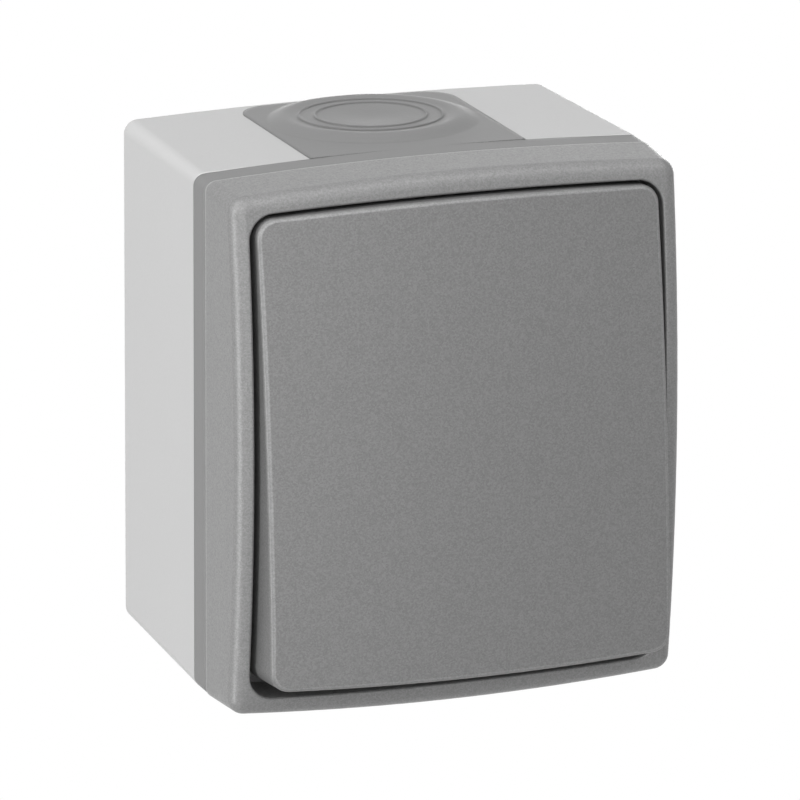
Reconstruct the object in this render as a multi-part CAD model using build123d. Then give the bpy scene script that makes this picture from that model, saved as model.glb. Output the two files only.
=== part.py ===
from build123d import *
import math
import os

# Surface-mounted weatherproof bell push. Sizes in mm, angles in degrees.
# Everything is drawn as it lies on a bench: x to the right, y up, z out of the wall, with the wall at z = 0.
# The last lines stand it up, so that the wall is the plane y = 0 and the front looks along -y.

# Back box: smaller at the wall than at its open front, with arched top and bottom
box_width = 75.0
box_height = 86.3
box_side_draft = 1.05
box_top_draft = 0.65
box_depth = 37.5
box_arch = 0.75
box_corner = 1.9
box_back_corner = 2.3
box_edge = 0.25
wall = 2.6
back_thickness = 2.6
tongue_wall = 1.0
tongue_height = 4.4
rib = 1.6
seal_fit = 0.1

# Wall fixings through the back, a sealing groove round them and two marks for a drain hole
wall_hole = 6.0
wall_hole_x = 17.0
wall_hole_y = 30.0
groove_inset = 4.6
groove_width = 1.4
groove_depth = 0.8
drain_y = 31.5
drain_mark = 6.0
drain_groove = 0.8
drain_depth = 1.6
washer_diameter = 10.0
washer_thickness = 1.4
washer_recess = 0.8

# Soft seal: a band between box and frame, and a patch with a cable entry above and below
band_depth = 5.0
band_proud = 0.2
band_edge = 0.35
patch_width = 36.3
patch_setback = 1.5
patch_corner = 5.0
patch_recess = 0.9
patch_proud = 0.2
entry_setback = 15.7
entry_outer = 23.1
entry_inner = 18.0
entry_rise = 0.4
entry_lean = 1.0
swell_crest_radius = 13.9
swell_crest = 0.65
swell_radius = 17.5
swell_root = 0.3
swell_slope = 0.3
bead = 0.5
dimple_radius = 4.5
dimple_depth = 0.3
dimple_edge = 0.12
cable_hole = 16.0
collar_wall = 1.2
collar_reach = 1.6

# Front frame: nearly straight sides and a barrel-shaped face
frame_proud_x = 0.1
frame_proud_y = 0.4
frame_draft_x = 0.35
frame_draft_y = 0.05
frame_rear_arch = 1.2
frame_front_arch = 1.6
frame_rear_corner = 1.8
frame_front_corner = 3.2
frame_rear_edge = 0.3
frame_depth = 11.7
frame_rise = 3.35
frame_side_rise = 0.46
frame_edge = 2.4
frame_rim = 2.4
frame_face_x = 2.65
frame_face_y = 3.35
window_arch = 0.8
window_corner = 4.2
window_edge = 0.35
floor_setback = 1.9
floor_thickness = 1.6
floor_lip_x = 0.6
floor_lip_y = 0.4
floor_opening_corner = 4.0
frame_screw_inset_x = 10.0
frame_screw_inset_y = 11.15

# Push plate, drawn about its pivot: y along the plate, z out of it
plate_gap_x = 0.925
plate_gap_y = 1.7
plate_arch = 0.83
plate_corner = 3.1
plate_edge = 0.8
plate_wall = 2.0
plate_datum = 15.4
plate_rise = 1.55
plate_side_rise = 1.38
skirt_clearance = 0.68
rib_frame_inset = 2.0
rest_tilt = 5.5
press_angle = 7.0

# Pivot and cradle
pivot_diameter = 3.0
pivot_clearance = 0.05
pivot_above_plate = 2.8
lug_radius = 2.4
lug_thickness = 2.8
ear_inset = 0.3
ear_gap = 0.3
ear_thickness = 2.8
panel_margin = 2.0
panel_thickness = 2.0
panel_gap = 0.4
lever_arm = 12.0
nose_drop = 0.5
nose_radius = 1.5
nose_width = 6.0
nose_clearance = 0.15

# Support plate of pressed steel and its two screws
support_gap = 0.9
support_tower_gap = 0.8
support_fold = 40.8
support_corner = 3.0
support_steel = 1.2
support_lip = 3.0
support_screw_inset = 6.5
gasket_screw_gap = 1.8
gasket_edge = 0.6
gasket_ring = 2.8
gasket_thickness = 3.2
tower_diameter = 6.8

# Screws with pan heads
screw_diameter = 3.0
screw_fit = 0.05
screw_hole = 3.5
bore_extra = 1.0
head_diameter = 5.6
head_height = 1.9
head_round = 0.85
cross_width = 3.4
slot_width = 0.9
slot_depth = 1.0
frame_screw_length = 12.0
support_screw_length = 9.0

# Contact block
base_depth = 22.0
cover_lip_gap = 3.1
cover_ledge = 1.5
cover_flange = 2.0
hub_inset = 1.0
hub_corner = 2.5
hub_gap = 0.2
rivet_gasket_gap = 0.8
rivet_hub_gap = 2.0
rivet_edge = 2.0
rivet_inset_y = 7.0
rivet_diameter = 2.4
rivet_head = 3.6
rivet_head_height = 0.8
rivet_round = 0.5
rivet_reach = 10.0

# Plunger, bridge and spring
plunger_width = 8.0
plunger_height = 6.0
plunger_fit = 0.1
plunger_flange_width = 11.0
plunger_flange_height = 8.0
plunger_flange = 1.6
stop_gap = 0.3
plunger_edge = 0.5
shoulder_diameter = 5.0
shoulder_height = 0.6
spigot_diameter = 3.3
spigot_length = 5.0
bridge_length = 22.0
bridge_height = 5.0
bridge_corner = 1.25
bridge_steel = 0.6
bridge_fit = 0.05
tip_diameter = 3.0
tip_height = 0.8
tip_x = 8.0
contact_clearance = 0.06
well_diameter = 6.4
spring_wire = 0.6
spring_diameter = 4.5
spring_length = 14.8
spring_turns = 6
spring_seat_gap = 0.02

# Contact strips and terminals
strip_width = 6.0
strip_corner = 1.5
strip_steel = 0.8
strip_overrun = 3.0
strip_fit = 0.1
room_margin = 1.2
clamp_width = 8.0
clamp_length = 7.0
clamp_wall = 0.8
clamp_fit = 0.3
clamp_ahead = 3.4
clamp_behind = 5.2
terminal_inset = 5.5
terminal_head = 5.0
terminal_head_height = 1.6
access_clearance = 0.4

# Outlines and places that follow from the box's width and height
box_back_width = box_width - 2 * box_side_draft
box_back_height = box_height - 2 * box_top_draft
frame_width = box_width + 2 * frame_proud_x
frame_height = box_height + 2 * frame_proud_y
frame_front_width = frame_width - 2 * frame_draft_x
frame_front_height = frame_height - 2 * frame_draft_y
frame_screw_x = box_width / 2 - frame_screw_inset_x
frame_screw_y = box_height / 2 - frame_screw_inset_y
window_width = frame_front_width - 2 * frame_face_x
window_height = frame_front_height - 2 * frame_face_y
plate_width = window_width - 2 * plate_gap_x
plate_height = window_height - 2 * plate_gap_y
support_width = box_width - 2 * wall - 2 * support_gap
support_height = 2 * (frame_screw_y - tower_diameter / 2 - support_tower_gap)
support_screw_x = box_width / 2 - support_screw_inset

# The gasket lies between the support screws, with the frame's opening and the cradle's panel inside it
gasket_width = 2 * (support_screw_x - head_diameter / 2 - gasket_screw_gap)
gasket_height = support_height - 2 * gasket_edge
floor_opening_width = gasket_width - 2 * gasket_ring - 2 * floor_lip_x
floor_opening_height = gasket_height - 2 * gasket_ring - 2 * floor_lip_y
panel_width = floor_opening_width - 2 * panel_margin
panel_height = floor_opening_height - 2 * panel_margin
rib_frame_width = panel_width - 2 * rib_frame_inset
rib_frame_height = panel_height - 2 * rib_frame_inset

# The contact block fills the support plate's height between its lips, with its rivets inside the gasket
base_height = support_height - 2 * (support_steel + cover_lip_gap + cover_ledge)
cover_height = base_height + 2 * cover_ledge
hub_height = base_height - 2 * hub_inset
rivet_x = gasket_width / 2 - gasket_ring - rivet_head / 2 - rivet_gasket_gap
rivet_y = base_height / 2 - rivet_inset_y
base_width = 2 * (rivet_x + rivet_edge)
hub_width = 2 * (rivet_x - rivet_hub_gap)
lug_outer_x = hub_width / 2 - ear_inset - ear_thickness - ear_gap
terminal_y = base_height / 2 - terminal_inset

# Depths worked out from the sizes above
frame_rear_z = box_depth + band_depth
frame_datum_z = frame_rear_z + frame_depth
floor_rear_z = frame_rear_z + floor_setback
floor_top_z = floor_rear_z + floor_thickness
tongue_top_z = box_depth + tongue_height
support_front_z = floor_rear_z - gasket_thickness
support_rear_z = support_front_z - support_steel
pivot_z = support_front_z + pivot_above_plate
cover_rear_z = support_rear_z - cover_flange
base_rear_z = cover_rear_z - base_depth

# The plunger waits just behind the cradle's nose, and its travel sets where the fixed contacts lie
tilt = math.radians(rest_tilt)
nose_z = pivot_z - nose_drop * math.cos(tilt) + lever_arm * math.sin(tilt)
plunger_top_z = nose_z - nose_radius - nose_clearance
travel = lever_arm * math.radians(press_angle)
flange_top_z = cover_rear_z - stop_gap
bridge_top_z = flange_top_z - plunger_flange - shoulder_height
bridge_rear_z = bridge_top_z - bridge_steel
fixed_tip_z = bridge_rear_z - tip_height - travel - contact_clearance
strip_top_z = fixed_tip_z - tip_height
strip_rear_z = strip_top_z - strip_steel
spring_foot_z = bridge_rear_z - spring_length
panel_rear = lug_radius + panel_gap
panel_top = panel_rear + panel_thickness
clamp_top_z = strip_top_z + clamp_ahead
clamp_foot_z = strip_rear_z - clamp_behind
strip_start_y = -lever_arm - strip_overrun
strip_end_y = terminal_y + strip_overrun

# The push plate's skirt ends just above the frame's floor, at the top at rest and at the bottom when pressed
press_tilt = math.radians(press_angle - rest_tilt)
skirt_foot = floor_top_z + skirt_clearance - pivot_z
skirt_top = (skirt_foot + plate_height / 2 * math.sin(tilt)) / math.cos(tilt)
skirt_bottom = (skirt_foot + plate_height / 2 * math.sin(press_tilt)) / math.cos(press_tilt)

SPAN = 200.0
LEAST_CORNER = 0.5
MARGIN = 6.0
OVER = 1.0
CORNERS = [(1, 1), (-1, 1), (1, -1), (-1, -1)]
SIDES = (1, -1)


# Shapes used again and again

def outline(width, height, arch, corner):
    """Flat face with straight sides, arched top and bottom edges and round corners."""
    x, y = width / 2, height / 2
    shoulder = y - arch
    edges = Curve() + [
        ThreePointArc((-x, shoulder), (0, y), (x, shoulder)),
        Line((x, shoulder), (x, -shoulder)),
        ThreePointArc((x, -shoulder), (0, -y), (-x, -shoulder)),
        Line((-x, -shoulder), (-x, shoulder)),
    ]
    face = make_face(edges)
    return fillet(face.vertices(), max(corner, LEAST_CORNER))


def prism(face, bottom, top):
    """The face pushed from one depth to another."""
    return extrude(Pos(0, 0, bottom) * face, top - bottom)


def slab(bottom, top):
    """Everything between two depths."""
    return prism(Rectangle(SPAN, SPAN), bottom, top)


def block(width, height, bottom, top, x=0.0, y=0.0):
    """Plain block between two depths."""
    return Pos(x, y, 0) * prism(Rectangle(width, height), bottom, top)


def soft_block(width, height, corner, bottom, top):
    """Block with round corners between two depths."""
    return prism(RectangleRounded(width, height, corner), bottom, top)


def rod(diameter, bottom, top, x=0.0, y=0.0):
    """Round bar along the depth."""
    return Pos(x, y, 0) * prism(Circle(diameter / 2), bottom, top)


def barrel(apex, rear, width, height, side_rise, rise):
    """Thick slab whose front is domed: an arc over the width, turned about a far axis over the height."""
    half = height / 2
    radius = (half ** 2 + rise ** 2) / (2 * rise)
    reach = width / 2 + MARGIN
    edge = apex - side_rise * (reach / (width / 2)) ** 2
    profile = make_face(Curve() + [
        ThreePointArc((-reach, edge), (0, apex), (reach, edge)),
        Line((reach, edge), (reach, rear - MARGIN)),
        Line((reach, rear - MARGIN), (-reach, rear - MARGIN)),
        Line((-reach, rear - MARGIN), (-reach, edge)),
    ])
    axis = Axis((0, 0, apex - radius), (1, 0, 0))
    swing = math.degrees(math.asin((half + MARGIN) / radius))
    return revolve((Plane.XZ * profile).rotate(axis, -swing), axis, 2 * swing)


def pan_screw(x, y, seat, length):
    """Screw with a round pan head and a cross recess, its head seated at a depth."""
    head = rod(head_diameter, seat, seat + head_height, x, y)
    head = fillet(head.faces().sort_by(Axis.Z)[-1].edges(), head_round)
    screw = head + rod(screw_diameter, seat - length, seat, x, y)
    top = seat + head_height
    screw -= block(cross_width, slot_width, top - slot_depth, top + OVER, x, y)
    screw -= block(slot_width, cross_width, top - slot_depth, top + OVER, x, y)
    return screw


def screw_bore(x, y, bottom, top):
    """Hole that a screw's thread is driven into."""
    return rod(screw_diameter + 2 * screw_fit, bottom, top, x, y)


# Back box and what it carries

def box_skin(grow, top=box_depth):
    """The box's outer form from wall to lip, grown or shrunk all round."""
    rear = outline(box_back_width + 2 * grow, box_back_height + 2 * grow, box_arch, box_back_corner + grow)
    front = outline(box_width + 2 * grow, box_height + 2 * grow, box_arch, box_corner + grow)
    return loft([rear, Pos(0, 0, top) * front])


def lip(shrink):
    """Outline of the box's lip, shrunk all round."""
    return outline(box_width - 2 * shrink, box_height - 2 * shrink, box_arch, box_corner - shrink)


def entry_plane(side):
    """Plane on the box's top or bottom face at the cable entry, facing outwards."""
    lean = math.atan2((box_height - box_back_height) / 2, box_depth)
    height = box_back_height / 2 + entry_setback * math.tan(lean)
    normal = (0, side * math.cos(lean), -math.sin(lean))
    return Plane(origin=(0, side * height, entry_setback), x_dir=(1, 0, 0), z_dir=normal)


def patch_area(side):
    """Block that holds the seal's patch on the top or bottom face, round at its two rear corners."""
    length = box_depth - patch_setback
    area = Rectangle(patch_width, length)
    area = fillet(area.vertices().group_by(Axis.Y)[-1], patch_corner)
    turn = Plane(origin=(0, 0, patch_setback + length / 2), x_dir=(1, 0, 0), z_dir=(0, side, 0))
    face = turn * area
    if side < 0:
        face = face.rotate(Axis((0, 0, patch_setback + length / 2), (0, 1, 0)), 180)
    return extrude(face, box_height)


def patch_layer(side, grow_in, grow_out):
    """Layer over the top or bottom face within the patch's area."""
    return (box_skin(grow_out) - box_skin(-grow_in)) & patch_area(side)


def tower(x, y, top):
    """Screw tower with a web to the side wall, and one to the level wall where it isn't half way up."""
    side_reach = box_width / 2 - wall / 2 - abs(x)
    webs = block(side_reach, rib, back_thickness, box_depth, x + math.copysign(side_reach / 2, x), y)
    if y:
        rise = box_height / 2 - wall / 2 - abs(y)
        webs += block(rib, rise, back_thickness, box_depth, x, y + math.copysign(rise / 2, y))
    return rod(tower_diameter, back_thickness, top, x, y) + (webs & box_skin(-wall / 2))


def ring_groove(outside, inside, depth):
    """Groove in the box's back between two outlines."""
    return prism(outside, -OVER, depth) - prism(inside, -OVER, depth)


def make_back_box():
    box = box_skin(0)
    box = fillet(box.edges().group_by(Axis.Z)[0] + box.edges().group_by(Axis.Z)[-1], box_edge)
    box -= box_skin(-wall) & slab(back_thickness, SPAN)
    tongue = prism(lip(wall - tongue_wall), box_depth - wall, tongue_top_z)
    tongue -= prism(lip(wall), box_depth - 2 * wall, tongue_top_z + OVER)
    box += tongue
    for i, j in CORNERS:
        x, y = i * frame_screw_x, j * frame_screw_y
        box += tower(x, y, floor_rear_z)
        box -= screw_bore(x, y, floor_top_z - frame_screw_length - bore_extra, SPAN)
        x, y = i * wall_hole_x, j * wall_hole_y
        box -= rod(wall_hole, -OVER, back_thickness + OVER, x, y)
        box -= rod(washer_diameter, back_thickness - washer_recess, back_thickness + OVER, x, y)
    for i in SIDES:
        box += tower(i * support_screw_x, 0, support_rear_z)
        bore_foot = support_front_z - support_screw_length - bore_extra
        box -= screw_bore(i * support_screw_x, 0, bore_foot, SPAN)
    for side in SIDES:
        box -= patch_layer(side, patch_recess, patch_proud)
        box -= entry_plane(side) * prism(Circle(cable_hole / 2), -2 * wall, wall)
        mark = ring_groove(Circle(drain_mark / 2), Circle(drain_mark / 2 - drain_groove), drain_depth)
        box -= Pos(0, side * drain_y, 0) * mark
    rings = []
    for inset, corner in ((groove_inset, groove_width), (groove_inset + groove_width, LEAST_CORNER)):
        rings.append(outline(box_back_width - 2 * inset, box_back_height - 2 * inset, box_arch, corner))
    return box - ring_groove(*rings, groove_depth)


def entry_swell():
    """Soft round swell of the seal at the cable entry: a crest, a level zone with two rings, and a dimple."""
    floor = patch_proud + entry_rise
    foot = -patch_recess / 2
    half = bead / 2
    inner, outer = entry_inner / 2, entry_outer / 2
    rim = (swell_radius, patch_proud - swell_root)
    centre = (0, floor - dimple_depth)
    slope = (dimple_radius, floor - dimple_edge)
    profile = make_face(Curve() + [
        Spline(centre, slope, (inner - half, floor), tangents=((1, 0), (1, 0))),
        ThreePointArc((inner - half, floor), (inner, floor + half), (inner + half, floor)),
        Line((inner + half, floor), (outer - half, floor)),
        ThreePointArc((outer - half, floor), (outer, floor + half), (outer + half, floor)),
        Spline((outer + half, floor), (swell_crest_radius, patch_proud + swell_crest), rim,
               tangents=((1, 0), (1, -swell_slope))),
        Line(rim, (swell_radius, foot)),
        Line((swell_radius, foot), (0, foot)),
        Line((0, foot), centre),
    ])
    return revolve(Plane.XZ * profile, Axis.Z)


def make_entry_seal():
    outer = outline(box_width + 2 * band_proud, box_height + 2 * band_proud, frame_rear_arch, box_corner)
    band = prism(outer, box_depth, frame_rear_z)
    band = fillet(band.edges().filter_by(Plane.XY).group_by(Axis.Z)[-1], band_edge)
    band -= prism(lip(wall - tongue_wall - seal_fit), box_depth - OVER, frame_rear_z + OVER)
    seal = band
    for side in SIDES:
        plane = entry_plane(side)
        swell = plane * (Rot(X=-side * entry_lean) * entry_swell())
        seal += patch_layer(side, patch_recess, patch_proud) + (swell & patch_area(side))
        collar = prism(Circle(cable_hole / 2 - seal_fit), -wall - collar_reach, -patch_recess / 2)
        collar -= prism(Circle(cable_hole / 2 - seal_fit - collar_wall), -SPAN / 2, -patch_recess)
        seal += plane * collar
    return seal


def make_wall_screw_seals():
    base = back_thickness - washer_recess
    ring = rod(washer_diameter - 2 * seal_fit, base, base + washer_thickness) - rod(wall_hole, 0, SPAN)
    return [Pos(i * wall_hole_x, j * wall_hole_y, 0) * ring for i, j in CORNERS]


# Front frame

def frame_window():
    return outline(window_width, window_height, window_arch, window_corner)


def make_front_frame():
    rear = outline(frame_width, frame_height, frame_rear_arch, frame_rear_corner)
    front = outline(frame_front_width, frame_front_height, frame_front_arch, frame_front_corner)
    apex = frame_datum_z + frame_rise + frame_side_rise
    body = loft([Pos(0, 0, frame_rear_z) * rear, Pos(0, 0, apex + OVER) * front])
    body &= barrel(apex, frame_rear_z, frame_front_width, frame_front_height, frame_side_rise, frame_rise)
    body = fillet(body.faces().sort_by(Axis.Z)[-1].edges(), frame_edge)
    body = fillet(body.edges().group_by(Axis.Z)[0], frame_rear_edge)
    body -= prism(frame_window(), floor_top_z, SPAN)
    face = body.faces().sort_by(Axis.Z)[-1]
    body = fillet(face.inner_wires()[0].edges(), window_edge)
    hollow = outline(frame_width - 2 * frame_rim, frame_height - 2 * frame_rim, frame_rear_arch,
                     frame_rear_corner)
    body -= prism(hollow, frame_rear_z - OVER, floor_rear_z)
    body -= soft_block(floor_opening_width, floor_opening_height, floor_opening_corner, 0, SPAN)
    for i, j in CORNERS:
        body -= rod(screw_hole, 0, SPAN, i * frame_screw_x, j * frame_screw_y)
    return body


def make_frame_screws():
    return [pan_screw(i * frame_screw_x, j * frame_screw_y, floor_top_z, frame_screw_length)
            for i, j in CORNERS]


# Support plate, its gasket and screws

def make_support_plate():
    plate = soft_block(support_width, support_height, support_corner, support_rear_z, support_front_z)
    for side in SIDES:
        plate += block(support_fold, support_steel, support_rear_z - support_lip, support_front_z, 0,
                       side * (support_height - support_steel) / 2)
    plate -= soft_block(hub_width + 2 * hub_gap, hub_height + 2 * hub_gap, hub_corner + hub_gap, 0, SPAN)
    for i in SIDES:
        plate -= rod(screw_hole, 0, SPAN, i * support_screw_x, 0)
    for i, j in CORNERS:
        plate -= rod(rivet_diameter + 2 * screw_fit, 0, SPAN, i * rivet_x, j * rivet_y)
    return plate


def make_support_screws():
    return [pan_screw(i * support_screw_x, 0, support_front_z, support_screw_length) for i in SIDES]


def make_frame_gasket():
    outer = soft_block(gasket_width, gasket_height, floor_opening_corner + gasket_ring, support_front_z,
                       floor_rear_z)
    return outer - soft_block(gasket_width - 2 * gasket_ring, gasket_height - 2 * gasket_ring,
                              floor_opening_corner, 0, SPAN)


# Contact block

def make_contact_base():
    base = soft_block(base_width, base_height, hub_corner, base_rear_z, cover_rear_z)
    room = plunger_flange_height + 2 * room_margin
    base -= block(bridge_length + 2 * room_margin, room, strip_rear_z, SPAN, 0, -lever_arm)
    base -= rod(well_diameter, spring_foot_z, SPAN, 0, -lever_arm)
    channel = strip_end_y - strip_start_y + 2 * strip_fit
    clamp_start_y = terminal_y - clamp_length / 2 - clamp_fit
    clamp_room = base_height / 2 - clamp_start_y + OVER
    for i in SIDES:
        base -= block(strip_width + 2 * strip_fit, channel, strip_rear_z, SPAN, i * tip_x,
                      (strip_start_y + strip_end_y) / 2)
        base -= block(clamp_width + 2 * clamp_fit, clamp_room, clamp_foot_z, SPAN, i * tip_x,
                      clamp_start_y + clamp_room / 2)
    foot = support_front_z - rivet_reach
    for i, j in CORNERS:
        base -= rod(rivet_diameter + 2 * screw_fit, foot, SPAN, i * rivet_x, j * rivet_y)
    return base


def across(face, start, end):
    """Face drawn in y and z, pushed along x from start to end."""
    return extrude(Plane(origin=(start, 0, 0), x_dir=(0, 1, 0), z_dir=(1, 0, 0)) * face, end - start)


def make_contact_cover():
    cover = soft_block(base_width, cover_height, hub_corner, cover_rear_z, support_rear_z)
    cover += soft_block(hub_width, hub_height, hub_corner, cover_rear_z, support_front_z)
    ear_face = Pos(0, pivot_z) * Circle(lug_radius)
    ear_face += Pos(0, (support_rear_z + pivot_z) / 2) * Rectangle(2 * lug_radius, pivot_z - support_rear_z)
    ear_face -= Pos(0, pivot_z) * Circle(pivot_diameter / 2 + pivot_clearance)
    for i in SIDES:
        inner = i * (lug_outer_x + ear_gap)
        cover += across(ear_face, inner, inner + i * ear_thickness)
        cover -= rod(terminal_head + 2 * access_clearance, 0, SPAN, i * tip_x, terminal_y)
    cover -= block(plunger_width + 2 * plunger_fit, plunger_height + 2 * plunger_fit, 0, SPAN, 0, -lever_arm)
    for i, j in CORNERS:
        cover -= rod(rivet_diameter + 2 * screw_fit, 0, SPAN, i * rivet_x, j * rivet_y)
    return cover


def make_block_rivets():
    rivets = []
    for i, j in CORNERS:
        head = rod(rivet_head, support_front_z, support_front_z + rivet_head_height, i * rivet_x, j * rivet_y)
        head = fillet(head.faces().sort_by(Axis.Z)[-1].edges(), rivet_round)
        foot = support_front_z - rivet_reach
        rivets.append(head + rod(rivet_diameter, foot, support_front_z, i * rivet_x, j * rivet_y))
    return rivets


def make_contact_strip(side):
    length = strip_end_y - strip_start_y
    middle = (strip_start_y + strip_end_y) / 2
    strip = block(strip_width, length, strip_rear_z, strip_top_z, side * tip_x, middle)
    return fillet(strip.edges().filter_by(Axis.Z), strip_corner)


def make_fixed_tips():
    return [rod(tip_diameter, strip_top_z, fixed_tip_z, i * tip_x, -lever_arm) for i in SIDES]


def make_terminal_clamp(side):
    height = clamp_top_z - clamp_foot_z
    section = RectangleRounded(clamp_width, height, clamp_wall)
    section -= Rectangle(clamp_width - 2 * clamp_wall, height - 2 * clamp_wall)
    section = Pos(side * tip_x, (clamp_top_z + clamp_foot_z) / 2) * section
    along = Plane(origin=(0, terminal_y - clamp_length / 2, 0), x_dir=(1, 0, 0), z_dir=(0, -1, 0))
    clamp = extrude(along * section, -clamp_length)
    return clamp - screw_bore(side * tip_x, terminal_y, strip_top_z, SPAN)


def make_terminal_screws():
    screws = []
    for i in SIDES:
        seat = cover_rear_z - terminal_head_height
        screw = rod(terminal_head, seat, cover_rear_z, i * tip_x, terminal_y)
        screw += rod(screw_diameter, strip_top_z, seat, i * tip_x, terminal_y)
        slot_foot = cover_rear_z - slot_depth
        screw -= block(terminal_head + OVER, slot_width, slot_foot, SPAN, i * tip_x, terminal_y)
        screws.append(screw)
    return screws


# Plunger with its bridge, and the spring behind it

def make_plunger():
    plunger = block(plunger_width, plunger_height, flange_top_z - plunger_flange, plunger_top_z)
    plunger = fillet(plunger.faces().sort_by(Axis.Z)[-1].edges(), plunger_edge)
    plunger += block(plunger_flange_width, plunger_flange_height, flange_top_z - plunger_flange, flange_top_z)
    plunger += rod(shoulder_diameter, bridge_top_z, flange_top_z)
    plunger += rod(spigot_diameter, bridge_top_z - spigot_length, flange_top_z)
    return Pos(0, -lever_arm, 0) * plunger


def make_contact_bridge():
    bridge = block(bridge_length, bridge_height, bridge_rear_z, bridge_top_z)
    bridge = fillet(bridge.edges().filter_by(Axis.Z), bridge_corner)
    bridge -= rod(spigot_diameter + 2 * bridge_fit, 0, SPAN)
    return Pos(0, -lever_arm, 0) * bridge


def make_bridge_tips():
    foot = bridge_rear_z - tip_height
    return [rod(tip_diameter, foot, bridge_rear_z, i * tip_x, -lever_arm) for i in SIDES]


def make_return_spring():
    length = spring_length - spring_wire - 2 * spring_seat_gap
    path = Helix(length / spring_turns, length, spring_diameter / 2)
    start = path @ 0
    section = Plane(origin=start, z_dir=path % 0) * Circle(spring_wire / 2)
    coil = sweep(section, path=path, is_frenet=True)
    return Pos(0, -lever_arm, spring_foot_z + spring_wire / 2 + spring_seat_gap) * coil


# Push plate and its cradle, drawn about the pivot and then tilted

def make_push_plate():
    face = outline(plate_width, plate_height, plate_arch, plate_corner)
    apex = plate_datum + plate_rise + plate_side_rise
    solid = prism(face, 0, SPAN / 2) & barrel(apex, 0, plate_width, plate_height, plate_side_rise, plate_rise)
    solid = fillet(solid.faces().sort_by(Axis.Z)[-1].edges(), plate_edge)
    inner = outline(plate_width - 2 * plate_wall, plate_height - 2 * plate_wall, plate_arch,
                    plate_corner - plate_wall)
    hollow = prism(inner, -OVER, SPAN / 2)
    hollow &= barrel(apex - plate_wall, 0, plate_width, plate_height, plate_side_rise, plate_rise)
    slope = (skirt_top - skirt_bottom) / plate_height
    reach = plate_height / 2 + MARGIN
    middle = (skirt_top + skirt_bottom) / 2
    below = make_face(Polyline((-reach, -MARGIN), (reach, -MARGIN), (reach, middle + slope * reach),
                               (-reach, middle - slope * reach), close=True))
    shell = solid - hollow - across(below, -SPAN / 2, SPAN / 2)
    ribs = prism(RectangleRounded(rib_frame_width, rib_frame_height, rib), panel_top, apex)
    ribs -= block(rib_frame_width - 2 * rib, rib_frame_height - 2 * rib, 0, SPAN)
    return shell + (ribs & solid)


def make_rocker_cradle():
    cradle = soft_block(panel_width, panel_height, floor_opening_corner, panel_rear, panel_top)
    lug_face = Circle(lug_radius)
    lug_face += Pos(0, panel_top / 2) * Rectangle(2 * lug_radius, panel_top)
    pin = Circle(pivot_diameter / 2)
    for i in SIDES:
        cradle += across(lug_face, i * (lug_outer_x - lug_thickness), i * lug_outer_x)
        cradle += across(pin, i * (lug_outer_x - lug_thickness), i * (lug_outer_x + ear_gap + ear_thickness))
    nose_face = Pos(-lever_arm, -nose_drop) * Circle(nose_radius)
    nose_stem = Rectangle(2 * nose_radius, panel_top + nose_drop)
    nose_face += Pos(-lever_arm, (panel_top - nose_drop) / 2) * nose_stem
    cradle += across(nose_face, -nose_width / 2, nose_width / 2)
    return cradle


def tilted(shape):
    """Piece drawn about the pivot, put in place with its lower end out."""
    return Pos(0, 0, pivot_z) * Rot(X=-rest_tilt) * shape


NODES = {
    "back_box": make_back_box(),
    "entry_seal": make_entry_seal(),
    "wall_screw_seals": make_wall_screw_seals(),
    "front_frame": make_front_frame(),
    "frame_screws": make_frame_screws(),
    "support_plate": make_support_plate(),
    "support_screws": make_support_screws(),
    "frame_gasket": make_frame_gasket(),
    "contact_base": make_contact_base(),
    "contact_cover": make_contact_cover(),
    "block_rivets": make_block_rivets(),
    "contact_strip_left": make_contact_strip(-1),
    "contact_strip_right": make_contact_strip(1),
    "fixed_contact_tips": make_fixed_tips(),
    "terminal_clamp_left": make_terminal_clamp(-1),
    "terminal_clamp_right": make_terminal_clamp(1),
    "terminal_screws": make_terminal_screws(),
    "plunger": make_plunger(),
    "contact_bridge": make_contact_bridge(),
    "bridge_tips": make_bridge_tips(),
    "return_spring": make_return_spring(),
    "rocker_cradle": tilted(make_rocker_cradle()),
    "push_plate": tilted(make_push_plate()),
}

os.makedirs("parts", exist_ok=True)
for name, shape in NODES.items():
    solids = shape if isinstance(shape, list) else shape.solids()
    upright = [Plane.XZ * solid for solid in solids]
    export_step(Compound(children=upright) if len(upright) > 1 else upright[0], f"parts/{name}.step")
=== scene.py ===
"""Finishes, small metal parts and studio for a surface-mounted weatherproof bell push."""
import math

import bmesh
import bpy
from mathutils import Matrix, Vector


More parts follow.
